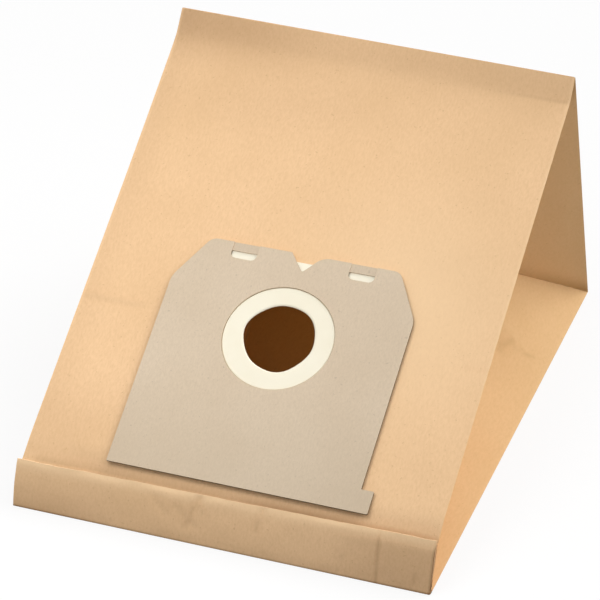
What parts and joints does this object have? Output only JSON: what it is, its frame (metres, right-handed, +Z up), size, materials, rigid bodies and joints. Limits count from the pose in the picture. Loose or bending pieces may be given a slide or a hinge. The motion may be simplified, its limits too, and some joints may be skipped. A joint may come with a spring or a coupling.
{
  "type": "vacuum dust bag",
  "caption": "Gusseted paper dust bag standing open as a wedge, with a block bottom, a glued end fold and a notched card collar plate around its filling hole.",
  "frame": {"origin": "under the middle of the bag, on the surface that its back panel lies on", "axes": "+X across the bag to its right, +Y from the glued end fold to the block bottom, +Z up"},
  "size_m": [0.23, 0.31, 0.1742],
  "materials": {
    "paper_bag": "matt brown kraft paper",
    "seal_sheet": "matt cream sheet",
    "collar_plate": "matt grey card"
  },
  "bodies": {
    "root": {"paper_bag": "paper_bag", "seal_sheet": "seal_sheet", "collar_plate": "collar_plate"}
  },
  "joints": []
}
